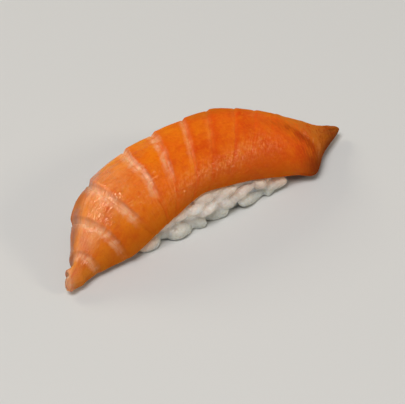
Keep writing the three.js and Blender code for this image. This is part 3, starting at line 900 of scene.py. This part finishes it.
def floor_spots(random, count, sunk):
    """Random places on the loaf's underside, with the way out pointing down."""
    x = random.uniform(-LOAF_LENGTH / 2, LOAF_LENGTH / 2, count)
    y = random.uniform(-LOAF_WIDTH / 2, LOAF_WIDTH / 2, count)
    inside = np.abs(y) < FLOOR_SHARE * LOAF_WIDTH / 2 * loaf_fullness(x / LOAF_LENGTH * 2)
    centre = np.stack([x, y, FLOOR_HEIGHT + sunk], -1)
    tangent = np.broadcast_to([1.0, 0.0, 0.0], centre.shape)
    outward = np.broadcast_to([0.0, 0.0, -1.0], centre.shape)
    return centre[inside], tangent[inside], outward[inside]


def uncrowded(centre, axis):
    """Numbers of the grains that stay: each in turn, unless one kept before it lies in the ellipse
    round it, which is CROWDING long and wide and lies along the grain."""
    kept = []
    for number in range(len(centre)):
        gap = centre[kept] - centre[number]
        along = gap @ axis[number]
        aside = (gap**2).sum(-1) - along**2
        if np.all((along / CROWDING[0]) ** 2 + aside / CROWDING[1] ** 2 > 1):
            kept.append(number)
    return np.array(kept)


def grain_points(centre, axis, outward, random):
    """Plump spindles: a grain's radius is the square root of 1 - t to the grain power, with t from -1
    to 1 along its axis. One end is blunter, and the whole bends a little, by t squared less a level."""
    count = len(centre)
    size = random.uniform(*GRAIN_SIZES, (3, count, 1, 1))
    blunt, bend = random.uniform(-UNEVENNESS, UNEVENNESS, (2, count, 1, 1))
    side = np.cross(outward, axis)
    side /= np.linalg.norm(side, axis=-1, keepdims=True)
    up = np.cross(axis, side)
    t = -np.cos(np.linspace(0, np.pi, GRAIN_ROWS + 2))[1:-1][None, :, None]
    ring = np.linspace(0, 2 * np.pi, GRAIN_RING, endpoint=False)[None, None, :]
    radius = np.sqrt(1 - np.abs(t) ** GRAIN_POWER) * (1 + blunt * t)
    lengthways = size[0] * GRAIN_LENGTH / 2 * t + 0 * ring
    upwards = size[1] * GRAIN_THICKNESS / 2 * radius * np.cos(ring)
    upwards = upwards + bend * GRAIN_LENGTH * (t**2 - BEND_LEVEL)
    sideways = size[2] * GRAIN_WIDTH / 2 * radius * np.sin(ring)
    parts = ((lengthways, axis), (upwards, up), (sideways, side))
    shape = sum(length[..., None] * vector[:, None, None, :] for length, vector in parts)
    half_length = size[0, :, 0] * GRAIN_LENGTH / 2
    end_rise = bend[:, 0] * (1 - BEND_LEVEL) * GRAIN_LENGTH
    ends = np.stack([sign * half_length * axis + end_rise * up for sign in (-1, 1)], 1)
    return centre[:, None, :] + np.concatenate([shape.reshape(count, -1, 3), ends], 1)


def stick_together(piece):
    """Turns overlapping grains into one closed skin with soft seams, as starch glues cooked grains."""
    remesh = piece.modifiers.new("remesh", "REMESH")
    remesh.mode = "VOXEL"
    remesh.voxel_size = STICKY_VOXEL * MM
    remesh.use_smooth_shade = True
    smooth = piece.modifiers.new("smooth", "SMOOTH")
    smooth.factor = 0.5
    smooth.iterations = STICKY_SMOOTHING
    evaluated = piece.evaluated_get(bpy.context.evaluated_depsgraph_get())
    mesh = bpy.data.meshes.new_from_object(evaluated)
    piece.modifiers.clear()
    piece.data = mesh


def grain_layer(random, sunk):
    """One layer of grains: places on the side and the underside, each grain turned and tilted a little
    out of line, those that would cross the slice moved down or skipped, and crowded ones left out."""
    spots = []
    for place, count in ((side_spots, GRAIN_CANDIDATES), (floor_spots, GRAIN_CANDIDATES // 2)):
        spots.append(place(random, count, sunk + random.uniform(-SUNK_SPREAD, SUNK_SPREAD, count)))
    centre, tangent, outward = (np.concatenate(group) for group in zip(*spots))
    order = random.permutation(len(centre))
    centre, tangent, outward = centre[order], tangent[order], outward[order]
    turn = random.normal(0, TURN_SPREAD, len(centre))
    wild = random.uniform(0, 1, len(centre)) < WILD_SHARE
    turn = np.where(wild, random.uniform(-WILD_TURN, WILD_TURN, len(centre)), turn)[:, None]
    tilt = random.uniform(-TILT, TILT, (len(centre), 1))
    axis = tangent * np.cos(turn) + np.cross(outward, tangent) * np.sin(turn) + outward * tilt
    axis /= np.linalg.norm(axis, axis=-1, keepdims=True)
    room = ceiling(centre) - GRAIN_THICKNESS / 2
    height = centre[:, 2]
    centre[:, 2] = np.where(height - room < MOST_LOWERED, np.minimum(height, room), height)
    free = (centre[:, 2] <= room + 1e-6) & (centre[:, 2] > LOWEST_MIDDLE)
    centre, axis, outward = centre[free], axis[free], outward[free]
    kept = uncrowded(centre, axis)
    return centre[kept], axis[kept], outward[kept]


def rice_grains(material):
    """The outer layer of grains, a deeper one that fills the gaps between them, and three straight
    grains low on the front, in one mesh."""
    random = np.random.default_rng(SEED)
    layers = [grain_layer(random, sunk) for sunk in GRAIN_SUNK]
    centre, axis, outward = (np.concatenate(group) for group in zip(*layers))
    shapes = press(grain_points(centre, axis, outward, random))
    placed = np.array(PLACED_GRAINS)
    lengthways = np.broadcast_to([1.0, 0.0, 0.0], placed.shape)
    frontwards = np.broadcast_to([0.0, -1.0, 0.0], placed.shape)
    shapes = np.concatenate([shapes, press(grain_points(placed, lengthways, frontwards, random))])
    count, size = shapes.shape[:2]
    faces = []
    for group in tube_faces(GRAIN_ROWS, GRAIN_RING):
        faces.append((np.arange(count)[:, None, None] * size + group).reshape(-1, group.shape[1]))
    piece = make_piece("rice_grains", shapes.reshape(-1, 3), faces, {}, material, "rice")
    stick_together(piece)
    points = np.empty(len(piece.data.vertices) * 3)
    piece.data.vertices.foreach_get("co", points)
    set_attribute(piece.data, "oily", painted_bounce(points.reshape(-1, 3) / MM))
    return piece


rice_grains(COOKED_RICE)

# ==== surface, light and camera ==================================================================
# A plain pale surface and three soft lights: a large one at the upper left, a warm one behind that
# gives the wet flesh its sheen, and a weak warm one at the front right. The camera looks down on the
# near long side from the left.

FLOOR_RADIUS = 6.0  # lengths here are in metres
FLOOR_STEPS = 96
FLOOR_LOOKS = {"Base Color": (0.66, 0.66, 0.65, 1), "Roughness": 0.7, "Specular IOR Level": 0.2}
LIGHT_DISTANCE = 2.4
WARM = (1, 0.88, 0.7)
WORLD_STRENGTH = 0.15
CAMERA_TARGET = (-0.0065, -0.0114, 0.008)
CAMERA_DISTANCE = 0.4
CAMERA_AZIMUTH = math.radians(-36.5)
CAMERA_ELEVATION = math.radians(38)
CAMERA_LENS = 128  # mm
SENSOR_WIDTH = 36  # mm


def floor_disc():
    """A wide flat disc under the part, with a plain matt finish."""
    mesh = bpy.data.meshes.new("floor")
    angle = np.linspace(0, 2 * np.pi, FLOOR_STEPS, endpoint=False)
    rim = np.stack([np.cos(angle), np.sin(angle), 0 * angle], -1) * FLOOR_RADIUS
    mesh.from_pydata(rim.tolist(), [], [list(range(len(rim)))])
    material, m = new_material("pale_surface")
    finish_material(m, m.node("ShaderNodeBsdfPrincipled", {}, FLOOR_LOOKS))
    mesh.materials.append(material)
    floor = bpy.data.objects.new("floor", mesh)
    bpy.context.scene.collection.objects.link(floor)


def soft_light(name, direction, size, watts, colour=(1, 1, 1)):
    """A square area light that faces the part from a direction."""
    data = bpy.data.lights.new(name, "AREA")
    data.color = colour
    data.size = size
    data.energy = watts
    light = bpy.data.objects.new(name, data)
    light.location = Vector(direction).normalized() * LIGHT_DISTANCE
    light.rotation_euler = Vector(direction).to_track_quat("Z", "Y").to_euler()
    bpy.context.scene.collection.objects.link(light)


def camera():
    """The scene's camera, which looks at its target from an azimuth and an elevation."""
    back = Vector((
        math.sin(CAMERA_AZIMUTH) * math.cos(CAMERA_ELEVATION),
        -math.cos(CAMERA_AZIMUTH) * math.cos(CAMERA_ELEVATION),
        math.sin(CAMERA_ELEVATION),
    ))
    data = bpy.data.cameras.new("camera")
    data.lens = CAMERA_LENS
    data.sensor_width = SENSOR_WIDTH
    data.clip_start = 0.01
    eye = bpy.data.objects.new("camera", data)
    eye.location = Vector(CAMERA_TARGET) + back * CAMERA_DISTANCE
    eye.rotation_euler = back.to_track_quat("Z", "Y").to_euler()
    bpy.context.scene.collection.objects.link(eye)
    bpy.context.scene.camera = eye


floor_disc()
soft_light("key", (-0.4, -0.18, 0.9), size=1.2, watts=42)
soft_light("sheen", (-0.2, 0.8, 0.5), size=0.8, watts=13, colour=WARM)
soft_light("fill", (0.49, -0.72, 0.49), size=0.48, watts=10, colour=WARM)
camera()

world = bpy.data.worlds.new("world")
world.use_nodes = True
background = world.node_tree.nodes["Background"]
background.inputs["Color"].default_value = (1, 1, 1, 1)
background.inputs["Strength"].default_value = WORLD_STRENGTH
bpy.context.scene.world = world
bpy.context.scene.view_settings.view_transform = "Standard"
